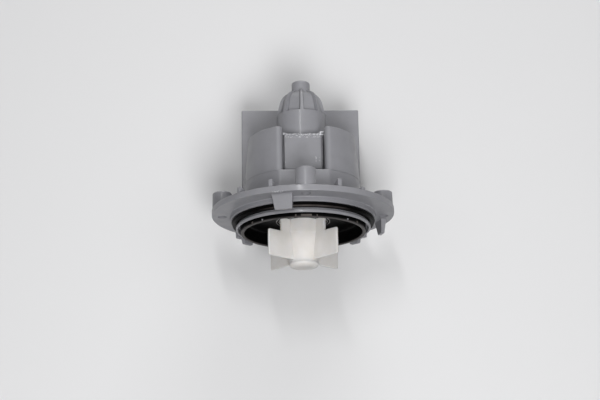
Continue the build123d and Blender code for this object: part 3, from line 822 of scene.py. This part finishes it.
def canShell(c):
    # columns follow the ribs' edges, so their angle is width / radius; rows follow the outline from pole to
    # pole. A panel between two ribs is flat: its radius is the chord's distance / cos(angle from its middle),
    # and it dips by the groove's depth beside each rib
    ribTop = np.array((-1.0, -0.5, 0.0, 0.5, 1.0))
    shoulder = np.linspace(0.15, 1.0, 6)
    panel = np.linspace(0.06, 0.94, 9)
    share = np.concatenate((np.linspace(0, 0.1, 8), np.linspace(0.13, 0.8, 20), np.linspace(0.82, 1.0, 13)))
    outline = domeRadius(c, share)
    halfWidth = np.interp(share, (0, 1), c["ribHalfWidths"])
    sectorAngle = 2 * math.pi / c["ribCount"]
    ribEdge = halfWidth / outline
    footEdge = (halfWidth + c["ribShoulder"]) / outline
    span = sectorAngle - 2 * footEdge
    offsets = np.hstack((
        ribEdge[:, None] * ribTop,
        ribEdge[:, None] + (footEdge - ribEdge)[:, None] * shoulder,
        footEdge[:, None] + span[:, None] * panel,
        (sectorAngle - footEdge)[:, None] + (footEdge - ribEdge)[:, None] * (1 - shoulder[::-1]),
    ))
    # sunk is 0 on the rib and 1 on the panel; dip is a half wave over the shoulder
    rise, dip = (1 - np.cos(math.pi * np.minimum(2 * shoulder, 1))) / 2, np.sin(math.pi * shoulder)
    sunk = np.concatenate((0 * ribTop, rise, np.ones(9), rise[::-1]))
    dips = np.concatenate((0 * ribTop, dip, np.zeros(9), dip[::-1]))
    # the recess starts at the ledge with a short step and ends at the stub
    fromLedge = share * c["domeLength"]
    stepIn = np.clip(fromLedge / c["ledgeStep"], 0, 1)
    chord = (outline - c["proud"])[:, None] * math.cos(sectorAngle / 2) / np.cos(offsets - sectorAngle / 2)
    room = (outline - c["stubRadius"] - c["stubMargin"])[:, None]
    depth = np.minimum(outline[:, None] - chord, room) * sunk
    depth = (depth + np.minimum(c["groove"], room / 2) * dips) * stepIn[:, None]
    # a channel runs along the ledge: its depth falls as (1 - y / width)^2
    deep, wide = c["ledgeGroove"]
    channel = deep * np.clip(1 - fromLedge / wide, 0, 1) ** 2 * stepIn
    depth = np.tile(depth + channel[:, None] * sunk, c["ribCount"])
    sectors = sectorAngle * np.arange(c["ribCount"])[:, None]
    angle = (offsets[:, None, :] + sectors).reshape(len(share), -1)
    radius = outline[:, None] - depth
    domeY = c["ledge"] + c["domeLength"] * share
    domeRows = np.stack((radius * np.cos(angle), domeY[:, None] + 0 * angle, radius * np.sin(angle)), -1)
    # plain rows before and after the dome reuse its first and last angles
    bore, collar, gap = c["radius"] - c["wall"], c["collarRadius"], c["rowGap"]
    before = arcCorners((
        (0, c["pocketEnd"], 0), (c["pocketRadius"], c["pocketEnd"], 0), (c["pocketRadius"], c["boreEnd"], 0),
        (bore, c["boreEnd"], 0), (bore, canLow[1], 0),
        (collar, canLow[1], c["collarRound"]), (collar, c["collarRear"], c["collarRound"]),
        (c["radius"], c["collarRear"], 0), (c["radius"], c["ledge"] - gap, 0),
    ), steps=3)
    after = arcCorners((
        (c["stubRadius"] + gap, c["ledge"] + c["domeLength"] + gap, 0),
        (c["stubRadius"], canHigh[1], c["stubRound"]), (0, canHigh[1], 0),
    ), steps=8)
    after = after[np.argsort(after[:, 1], kind="stable")]
    return gridShell(np.concatenate((turnedRows(before, angle[0]), domeRows, turnedRows(after, angle[-1]))))


# White flash left along the key block's rear top edge: a ragged strip, with a loose corner at each end

keyFlash = {
    "halfLength": 8.0, "inside": 0.9, "reach": 1.0, "columns": 61, "seed": 7, "swell": (0.35, 0.65),
    "swellPoints": 17, "sink": 0.15, "under": (0.5, 0.3), "thickness": 0.3, "leastLump": 0.4,
    "insideTop": (0.1, 0.2), "stray": 0.05,
}


def flashShell(k, c):
    # closed strip: its free edge is rear + reach * noise^2 * slow swell, its height thickness * (0.4 + noise)
    rng = np.random.default_rng(k["seed"])
    along = np.linspace(-k["halfLength"], k["halfLength"], k["columns"])
    ragged = rng.uniform(0, 1, k["columns"]) ** 2
    knots = np.linspace(-k["halfLength"], k["halfLength"], k["swellPoints"])
    least, more = k["swell"]
    swell = least + more * np.interp(along, knots, rng.uniform(0, 1, k["swellPoints"]))
    lumps = k["leastLump"] + rng.uniform(0, 1, (2, k["columns"]))
    free = c["keyRear"] + k["reach"] * (ragged * swell)
    fixed = 0 * along + c["keyRear"] - k["inside"]
    top = 0 * along + c["keyTop"] - k["sink"]
    y = np.stack((fixed, free, free, fixed))
    z = np.stack((
        top - k["under"][0], top - k["under"][1],
        top + k["thickness"] * lumps[0], top + k["insideTop"][0] + k["insideTop"][1] * lumps[1],
    ))
    x = along + k["stray"] * rng.uniform(-1, 1, y.shape)
    return gridShell(np.stack((x, y, z), -1).transpose(1, 0, 2), capped=True)


def rotorCan(c):
    # the turned can with the key block, its foot, the flash and its chips joined, and the bore cut
    base, bend = c["blockBase"], c["footRound"]
    keyEnds, footEnds = (c["keyFront"], c["keyRear"]), (c["footFront"], c["footRear"])
    key = wideBlock(c["keyHalfWidth"], keyEnds, (base, c["keyTop"]), c["keyCorner"], 0, c["keyEdge"])
    foot = wideBlock(c["footHalfWidth"], footEnds, (base, c["footTop"]), bend, 0, bend)
    chips = [blockShell(low, high, corner, 0, c["chipEdge"]) for low, high, corner in c["chips"]]
    hollow = rod(c["radius"] - c["wall"], canLow[1] - overrun, c["boreEnd"], segments=128)
    return makePiece("rotor_can_body", canShell(c), [key, foot, flashShell(keyFlash, c)] + chips, [hollow])


settle(rotorCan(can), canFinish, "root", "grey_plastic", "rotor_can")


# Stator moulding: two towers beside the can, the bridge over the seat, the coil block and the plug shroud

statorLow, statorHigh = cornersOf("stator_moulding")
coreLow, coreHigh = cornersOf("core_laminations")
spoolLow, spoolHigh = cornersOf("bobbin_right")

stator = {
    "front": statorLow[1], "towerRadii": (27.6, 24.9), "towerRear": 36.3, "towerSink": 0.3, "endRound": 0.5,
    "slotHalfWidth": 9.5, "slotRound": 2.0, "bore": 11.9,
    "bridgeTops": (24.2, 25.0), "bridgeShoulder": 3.0, "bridgeRear": 15.2, "bridgeRounds": (0.3, 0.7),
    "pocketHalfWidth": 14.7, "pocketHalfHeight": 14.3, "pocketRear": 17.8, "pocketCorner": 0.6,
    "blockHalfWidth": statorHigh[0], "blockTop": -14.0, "blockBottom": -34.0, "blockRear": statorHigh[1],
    "blockCorner": 0.6, "blockEdge": 0.5, "coreTop": -10.0,
    "shroudHalfWidth": 14.0, "shroudFront": 43.0, "shroudWall": 1.6, "shroudCorner": 1.2, "shroudEdge": 0.3,
    "socketTop": -36.0, "socketCorner": 0.8,
    "seamHeight": -24.5, "seamDepth": 0.2, "seamWidth": 0.35, "seamShares": (-0.5, -0.3, 0.3, 0.5),
    "ejectorRadius": 2.2, "ejectorDepth": 0.15, "ejectorDrop": 4, "ejectorPlaces": (-21.0, 21.0),
}


def towerRadius(s, y):
    # drafted: falls evenly from the front radius to the rear one
    return np.interp(y, (s["front"], s["towerRear"]), s["towerRadii"])


def archOutline(s, big, centre, small, end, steps, tail=np.empty((0, 2))):
    # a big arc about the axis and a smaller one whose centre is at (R - r) from the axis, so that they meet
    # without a corner, and the mirror image
    meet = math.degrees(math.atan2(centre[1], centre[0]))
    side = ((big, s["blockTop"] - overrun),)
    bigArc, smallArc = arcPoints((0, 0), big, 0, meet, 40), arcPoints(centre, small, meet, end, steps)
    return mirrored(np.vstack((side, bigArc, smallArc[1:], tail)))


def towerOutline(s, big):
    # the small arc's centre is its radius beyond the slot's wall: x = slot + r
    small, slot = s["slotRound"], s["slotHalfWidth"]
    x = slot + small
    return archOutline(s, big, (x, math.sqrt((big - small) ** 2 - x ** 2)), small, 180, 10, ((slot, 0),))


def bridgeOutline(s, big):
    # flat top that rises a little towards the front, with the small arc's centre its radius below
    small = s["bridgeShoulder"]
    top = np.interp(big, (towerRadius(s, s["bridgeRear"]), s["towerRadii"][0]), s["bridgeTops"])
    z = top - small
    return archOutline(s, big, (math.sqrt((big - small) ** 2 - z ** 2), z), small, 90, 12)


def alongY(x, z, y):
    return x, y, z


def taperedShell(s, outlineOf, levels):
    # each level along the axis has the outline of its own tower radius
    radii = towerRadius(s, levels[:, 0])
    return prismShell(np.stack([outlineOf(s, radius) for radius in radii]), levels, alongY)


def statorMoulding(s):
    # towers, bridge, coil block and plug shroud joined; the can's seat and bore, the socket, the room of core
    # and coils and two shallow round marks cut
    front, rear, wall = s["front"], s["blockRear"], s["shroudWall"]
    towerLevels = roundedLevels(s["bridgeRear"] - s["towerSink"], s["towerRear"], 0, s["endRound"])
    towers = taperedShell(s, towerOutline, towerLevels)
    bridge = taperedShell(s, bridgeOutline, roundedLevels(front, s["bridgeRear"], *s["bridgeRounds"]))
    seam = s["seamHeight"] + s["seamWidth"] * np.array(s["seamShares"])
    block = wideBlock(
        s["blockHalfWidth"], (front, rear), (s["blockBottom"], s["blockTop"]),
        s["blockCorner"], s["blockEdge"], s["blockEdge"],
        extraLevels=[[height, depth] for height, depth in zip(seam, (0, s["seamDepth"], s["seamDepth"], 0))],
    )
    shroud = wideBlock(
        s["shroudHalfWidth"], (s["shroudFront"], rear - fitGap), (statorLow[2], s["blockBottom"] + overrun),
        s["shroudCorner"], s["shroudEdge"], 0,
    )
    pocket = wideBlock(
        s["pocketHalfWidth"], (front - overrun, s["pocketRear"]),
        (-s["pocketHalfHeight"], s["pocketHalfHeight"]), s["pocketCorner"],
    )
    bore = rod(s["bore"], front - overrun, s["towerRear"] + overrun, segments=128)
    socket = wideBlock(
        s["shroudHalfWidth"] - wall, (s["shroudFront"] + wall, rear - wall),
        (statorLow[2] - overrun, s["socketTop"]), s["socketCorner"],
    )
    coreRoom = blockShell(coreLow - fitGap, np.array((*coreHigh[:2], s["coreTop"])) + fitGap)
    cut = [pocket, bore, socket, coreRoom]
    for side in (-1, 1):
        left, right = sorted((side * spoolLow[0], side * spoolHigh[0]))
        cut.append(blockShell((left, *spoolLow[1:]), (right, *spoolHigh[1:])))
    for x in s["ejectorPlaces"]:
        spot = (x, s["seamHeight"] - s["ejectorDrop"])
        cut.append(rod(s["ejectorRadius"], rear - s["ejectorDepth"], rear + overrun, spot))
    return makePiece("stator_body", towers, [bridge, block, shroud], cut)


settle(statorMoulding(stator), greyFinish, "root", "grey_plastic", "stator_moulding")


# Steel core: stacked plates whose edges show as fine grooves

core = {
    "plateCount": 25, "grooveDepth": 0.06, "grooveShare": 0.18, "halfGap": 11.0, "yokeTop": -33.0,
    "tipRadius": 23.7, "poleRadius": 12.7,
}


def coreOutline(c):
    # U shaped section: yoke below, two legs, and tips that follow the towers outside and the rotor inside
    wide, low = coreHigh[0], coreLow[2]
    tipFoot = math.degrees(math.acos(wide / c["tipRadius"]))
    tipEnd = math.degrees(math.acos(c["halfGap"] / c["tipRadius"]))
    poleTop = math.degrees(math.acos(c["halfGap"] / c["poleRadius"]))
    right = np.vstack((
        ((wide, low),),
        arcPoints((0, 0), c["tipRadius"], tipFoot, tipEnd, 16),
        arcPoints((0, 0), c["poleRadius"], poleTop, -poleTop, 12),
        ((c["halfGap"], c["yokeTop"]),),
    ))
    return mirrored(right)


def coreStack(c):
    # plates meet in V grooves: the outline is drawn in by the groove's depth where two plates meet
    pitch = (coreHigh[1] - coreLow[1]) / c["plateCount"]
    start = coreLow[1] + pitch * np.arange(c["plateCount"])
    groove = pitch * c["grooveShare"] / 2
    depth = np.stack((start, start + groove, start + pitch - groove), 1).reshape(-1)
    inset = np.tile((c["grooveDepth"], 0, 0), c["plateCount"])
    levels = np.stack((np.append(depth, coreHigh[1]), np.append(inset, c["grooveDepth"])), 1)
    levels[0, 1] = levels[-1, 1] = 0
    return makePiece("steel_core", prismShell(coreOutline(c), levels, alongY), sharpAngle=25)


settle(coreStack(core), plateFinish, "root", "electrical_steel", "core_laminations")


# Rivets: a shank through the plates with a domed head at each end

rivet = {"count": 3, "spacing": 16.5, "height": -38.5, "shank": 1.6, "head": 2.8, "headRise": 0.55}


def rivetShell(r, x):
    # head profile is a shallow arc: y = end + rise * (radius / head)^2
    low, high = cornersOf("core_rivets")
    front, rear, head, shank = coreLow[1], coreHigh[1], r["head"], r["shank"]
    radius = np.linspace(0, head, 9)
    fall = r["headRise"] * (radius / head) ** 2
    first = np.stack((radius, low[1] + fall), 1)
    last = np.stack((radius, high[1] - fall), 1)[::-1]
    faces = np.array(((head, front), (shank, front), (shank, rear), (head, rear)))
    return turnedShell(np.vstack((first, faces, last)), segments=40, centre=(x, r["height"]))


def coreRivets(r):
    places = r["spacing"] * (np.arange(r["count"]) - (r["count"] - 1) / 2)
    piece = addObject("rivet_set", makeMesh("rivet_set", [rivetShell(r, x) for x in places]))
    smoothFaces(piece, 35)
    return piece


settle(coreRivets(rivet), steelFinish, "root", "steel", "core_rivets")


# Terminal blades with chamfered tips and a locking hole

blade = {"tipChamfer": 1.0, "tipRound": 0.2, "holeRadius": 0.8, "holeUp": 3.4, "edge": 0.12}


def terminalBlade(side):
    # flat outline with its tip's corners cut off, carried through the blade's thickness
    low, high = cornersOf(f"terminal_{side}")
    slope, bend = blade["tipChamfer"], blade["tipRound"]
    outline = arcCorners((
        (low[0], high[2], 0), (low[0], low[2] + slope, bend), (low[0] + slope, low[2], bend),
        (high[0] - slope, low[2], bend), (high[0], low[2] + slope, bend), (high[0], high[2], 0),
    ))
    shape = prismShell(outline, roundedLevels(low[1], high[1], blade["edge"], blade["edge"]), alongY)
    middle = ((low[0] + high[0]) / 2, low[2] + blade["holeUp"])
    hole = rod(blade["holeRadius"], low[1] - overrun, high[1] + overrun, centre=middle, segments=32)
    return makePiece(f"blade_{side}", shape, (), [hole])


for sideName in ("left", "right"):
    settle(terminalBlade(sideName), tinFinish, "root", "tinned_brass", f"terminal_{sideName}")


# Impeller: hub with four stepped vanes, and the rounded cap on its nose

impellerLow, impellerHigh = cornersOf("impeller")
capLow, capHigh = cornersOf("impeller_cap")

wheel = {
    "radius": 21.7, "tailRadius": 14.0, "step": -9.3, "front": -21.4, "vaneCount": 4, "vaneAngle": 48,
    "vaneHalfWidth": 0.8, "tipHalfWidth": 0.5, "vaneEdge": 0.25, "vaneCorner": 0.7, "vaneSink": 0.7,
    "tailRound": 0.3, "stepRound": 0.5,
    "hubRadii": (9.0, 6.8), "hubStep": 0.12, "hubRound": 0.2, "hubEdge": 0.05,
    "cavity": 4.9, "cavityRear": -13.0, "bore": 2.05,
    "noseFlat": 3.7, "boreFront": -22.3, "capBore": 2.3, "capGap": 0.01,
    "gateRadii": (2.0, 2.15), "gateDepth": 0.1,
}


def hubProfile(w):
    # (radius, y) section: a short tail in the cup, a small step, then a cone from one hub radius to the other
    (tail, nose), rear, front, bend = w["hubRadii"], impellerHigh[1], impellerLow[1], w["hubEdge"]
    return arcCorners((
        (w["bore"], rear, w["hubRound"]), (tail, rear, w["hubRound"]), (tail, w["step"] + w["hubStep"], bend),
        (tail - w["hubStep"], w["step"], bend), (nose, front, bend),
        (w["cavity"], front, 0), (w["cavity"], w["cavityRear"], 0), (w["bore"], w["cavityRear"], 0),
    ))


def vaneShell(w, degrees):
    # stepped blade, wide in front of the cup and narrow inside it; its thickness falls evenly towards the tip
    root = w["cavity"] + w["vaneSink"]
    outline = arcCorners((
        (root, impellerHigh[1], 0), (w["tailRadius"], impellerHigh[1], w["tailRound"]),
        (w["tailRadius"], w["step"], w["stepRound"]), (w["radius"], w["step"], w["vaneCorner"]),
        (w["radius"], w["front"], w["vaneCorner"]), (root, w["front"], 0),
    ))
    turn = aroundAxis(degrees)
    levels = roundedLevels(-w["vaneHalfWidth"], w["vaneHalfWidth"], w["vaneEdge"], w["vaneEdge"])

    def place(r, y, t):
        share = (r - root) / (w["radius"] - root)
        return turn(r, y, t * (1 - share * (1 - w["tipHalfWidth"] / w["vaneHalfWidth"])))

    return prismShell(outline, levels, place)


def impellerWheel(w):
    # the turned hub with its vanes joined, evenly round the axis
    vanes = [vaneShell(w, w["vaneAngle"] + 360 * k / w["vaneCount"]) for k in range(w["vaneCount"])]
    return makePiece("impeller_wheel", turnedShell(hubProfile(w), closed=True, segments=96), vanes)


def impellerCap(w):
    # nose: flat gate mark in the middle, then a quarter of an ellipse:
    # radius = flat + (R - flat) sin a, y = front + height (1 - cos a)
    turn = np.linspace(0, math.pi / 2, 13)
    nose, front, rear = w["hubRadii"][1], capLow[1], impellerLow[1] - w["capGap"]
    radius = w["noseFlat"] + (nose - w["noseFlat"]) * np.sin(turn)
    bend = np.stack((radius, front + (rear - front) * (1 - np.cos(turn))), 1)
    (gateInner, gateOuter), gateFloor = w["gateRadii"], front + w["gateDepth"]
    spigot = w["cavity"] - fitGap
    profile = np.vstack((
        ((0, gateFloor), (gateInner, gateFloor), (gateOuter, front)), bend,
        ((spigot, rear), (spigot, capHigh[1]), (w["capBore"], capHigh[1])),
        ((w["capBore"], w["boreFront"]), (0, w["boreFront"])),
    ))
    return makePiece("impeller_nose", turnedShell(profile, segments=96))


settle(impellerWheel(wheel), whiteFinish, "impeller", "white_plastic", "impeller")
settle(impellerCap(wheel), whiteFinish, "impeller", "white_plastic", "impeller_cap")


# Hidden pieces keep their CAD shape and get their own finish

hiddenFinishes = {
    rubberFinish: ("can_o_ring", "front_bearing_holder", "rear_bearing_holder", "dog_bumpers"),
    bearingFinish: ("front_bearing", "rear_bearing"),
    steelFinish: ("front_thrust_washer", "rear_thrust_washer", "rotor_shaft", "thermal_fuse"),
    ferriteFinish: ("rotor_magnet",),
    whiteFinish: ("magnet_core", "shaft_dog", "bobbin_left", "bobbin_right"),
    copperFinish: ("winding_left", "winding_right", "coil_link_wire"),
    tinFinish: ("terminal_leads",),
}
for finish, nodes in hiddenFinishes.items():
    for node in nodes:
        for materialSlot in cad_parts[node].material_slots:
            materialSlot.material = finish
print("hidden pieces finished")


# Floor, light and camera

studio = {
    "floorSize": 3.0, "floorGap": 0.0002, "floorRoughness": 0.7,
    "floorColour": screenColour(226, 226, 227), "floorBounce": screenColour(125, 125, 126),
    "ambient": 0.02, "backdrop": 0.5, "zenith": 0.05, "backdropEnds": (0.35, 0.8),
    "lamps": (  # name, direction towards the lamp, distance, width and length, watts
        ("softbox", (0.06, -0.58, 1.0), 0.9, (0.32, 0.32), 5.7),
        ("leftPanel", (-0.6, 0.0, 1.0), 0.9, (0.4, 0.4), 0.6),
        ("rightPanel", (0.6, 0.0, 1.0), 0.9, (0.4, 0.4), 0.7),
        ("strip", (-0.09, 0.28, 1.0), 0.7, (0.03, 0.25), 0.95),
        ("leftFill", (-0.7, -1.0, 0.35), 0.9, (0.4, 0.4), 0.4),
        ("backFill", (0.3, 1.0, 0.6), 0.9, (0.5, 0.5), 1.9),
        ("rearFill", (-0.1, 1.0, 0.1), 0.9, (0.4, 0.4), 1.9),
    ),
}
photoCamera = {
    "azimuth": -7.17, "elevation": 73.43, "roll": 6.44,
    "distance": 0.6, "target": (-0.00225, 0, 0.02679), "focal": 81.9,
}


def seenDirectly(tree):
    # 1 for rays from the camera and for mirrored or refracted ones, 0 for light that bounces on
    rays = addNode(tree, "ShaderNodeLightPath").outputs
    mirrored = reckon("MAXIMUM", rays["Is Glossy Ray"], rays["Is Transmission Ray"])
    return reckon("MAXIMUM", rays["Is Camera Ray"], mirrored)


def studioFloor(s):
    half, low = s["floorSize"] / 2, cadLow[2] - s["floorGap"]
    corners = [(-half, -half, low), (half, -half, low), (half, half, low), (-half, half, low)]
    mesh = bpy.data.meshes.new("floor")
    mesh.from_pydata(corners, [], [(0, 1, 2, 3)])
    finish, shader = startFinish("paleFloor", {"Roughness": s["floorRoughness"]})[:2]
    tree = shader.id_data
    colour = blendColours(seenDirectly(tree), s["floorBounce"], s["floorColour"])
    tree.links.new(colour, shader.inputs["Base Color"])
    mesh.materials.append(finish)
    addObject("floor", mesh)


def studioLights(s):
    for name, direction, distance, size, watts in s["lamps"]:
        lamp = bpy.data.lights.new(name, "AREA")
        lamp.shape, lamp.energy = "RECTANGLE", watts
        lamp.size, lamp.size_y = size
        towards = Vector(direction).normalized()
        holder = addObject(name, lamp)
        holder.location = towards * distance
        holder.rotation_euler = towards.to_track_quat("Z", "Y").to_euler()
    # the world is pale at the horizon and darker overhead where it is seen or mirrored, and dim as a light
    world = bpy.data.worlds.new("studio")
    bpy.context.scene.world = world
    world.use_nodes = True
    tree = world.node_tree
    seen = seenDirectly(tree)
    height = axesOf(addNode(tree, "ShaderNodeTexCoord").outputs["Generated"])[2]
    shown = between(height, *s["backdropEnds"], s["backdrop"], s["zenith"])
    dim = reckon("MULTIPLY", reckon("SUBTRACT", 1.0, seen), s["ambient"])
    strength = reckon("ADD", reckon("MULTIPLY", seen, shown), dim)
    tree.nodes["Background"].inputs["Color"].default_value = (1, 1, 1, 1)
    tree.links.new(strength, tree.nodes["Background"].inputs["Strength"])


def photographCamera(c):
    # the camera looks from azimuth and elevation at the target, then rolls about its own axis
    azimuth, elevation, roll = (math.radians(c[key]) for key in ("azimuth", "elevation", "roll"))
    level = math.cos(elevation)
    back = Vector((math.sin(azimuth) * level, -math.cos(azimuth) * level, math.sin(elevation)))
    right = (-back).cross(Vector((0, 0, 1))).normalized()
    up = back.cross(right)
    rolledRight = right * math.cos(roll) + up * math.sin(roll)
    rolledUp = up * math.cos(roll) - right * math.sin(roll)
    turn = Matrix((rolledRight, rolledUp, back)).transposed().to_4x4()
    turn.translation = Vector(c["target"]) + back * c["distance"]
    camera = addObject("camera", bpy.data.cameras.new("camera"))
    camera.matrix_world = turn
    camera.data.lens = c["focal"]
    bpy.context.scene.camera = camera


studioFloor(studio)
studioLights(studio)
photographCamera(photoCamera)
bpy.context.scene.view_settings.view_transform = "Standard"
print("studio ready")
